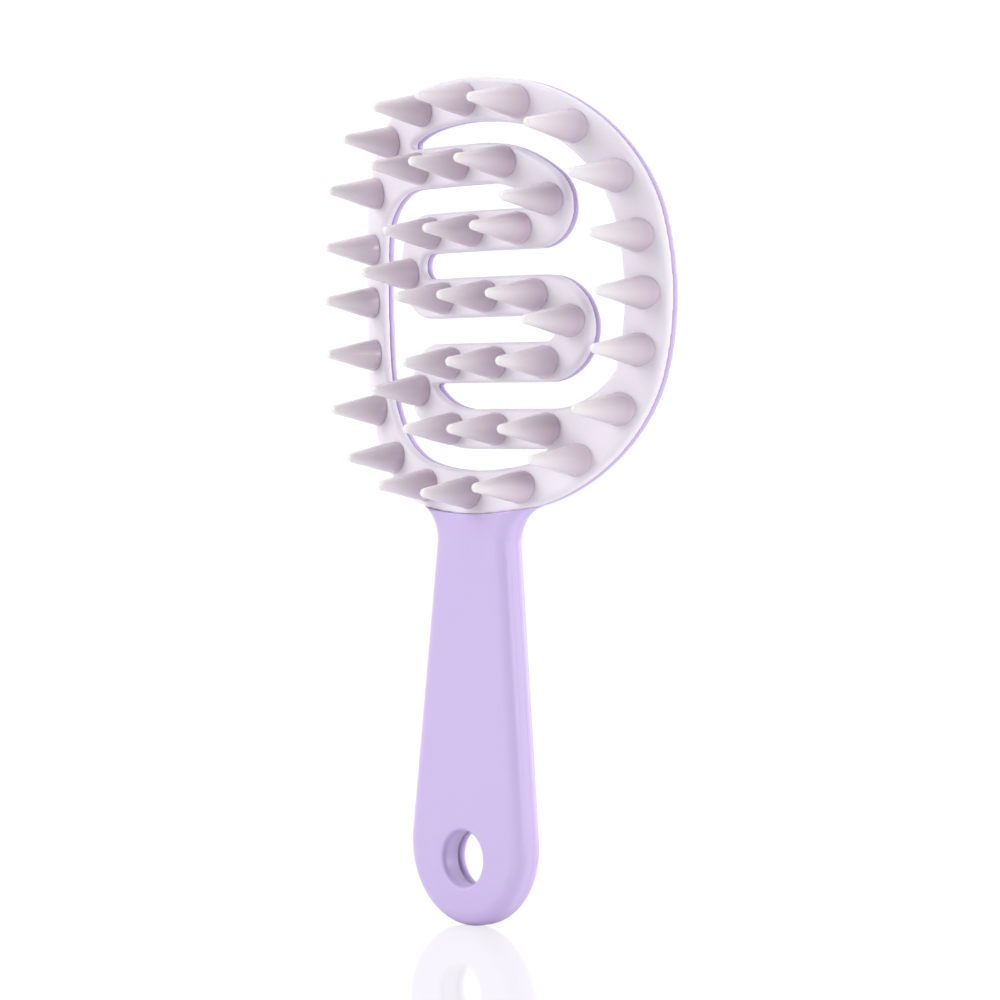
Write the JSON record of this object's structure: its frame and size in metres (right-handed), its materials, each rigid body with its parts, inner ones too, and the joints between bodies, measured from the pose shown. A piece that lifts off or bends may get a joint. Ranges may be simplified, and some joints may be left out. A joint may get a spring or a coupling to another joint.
{
  "type": "vented detangling hair brush",
  "caption": "Open-backed hair brush with a flat tapering handle, a hang hole, and a curved vented head of soft conical teeth on a ring and a woven bar.",
  "frame": {"origin": "middle of the hang hole, halfway through the handle", "axes": "+Z along the handle towards the head, +X to the right as seen from the teeth, -Y the way the teeth point"},
  "size_m": [0.1042, 0.0364, 0.2032],
  "materials": {
    "handle_plastic": "satin",
    "pad_plastic": "soft satin",
    "tooth_plastic": "soft satin"
  },
  "bodies": {
    "root": {"back_frame": "handle_plastic", "handle_cover": "handle_plastic", "tooth_pad": "pad_plastic", "tooth_01": "tooth_plastic", "tooth_02": "tooth_plastic", "tooth_03": "tooth_plastic", "tooth_04": "tooth_plastic", "tooth_05": "tooth_plastic", "tooth_06": "tooth_plastic", "tooth_07": "tooth_plastic", "tooth_08": "tooth_plastic", "tooth_09": "tooth_plastic", "tooth_10": "tooth_plastic", "tooth_11": "tooth_plastic", "tooth_12": "tooth_plastic", "tooth_13": "tooth_plastic", "tooth_14": "tooth_plastic", "tooth_15": "tooth_plastic", "tooth_16": "tooth_plastic", "tooth_17": "tooth_plastic", "tooth_18": "tooth_plastic", "tooth_19": "tooth_plastic", "tooth_20": "tooth_plastic", "tooth_21": "tooth_plastic", "tooth_22": "tooth_plastic", "tooth_23": "tooth_plastic", "tooth_24": "tooth_plastic", "tooth_25": "tooth_plastic", "tooth_26": "tooth_plastic", "tooth_27": "tooth_plastic", "tooth_28": "tooth_plastic", "tooth_29": "tooth_plastic", "tooth_30": "tooth_plastic", "tooth_31": "tooth_plastic", "tooth_32": "tooth_plastic", "tooth_33": "tooth_plastic", "tooth_34": "tooth_plastic", "tooth_35": "tooth_plastic", "tooth_36": "tooth_plastic", "tooth_37": "tooth_plastic", "tooth_38": "tooth_plastic", "tooth_39": "tooth_plastic"}
  },
  "joints": []
}
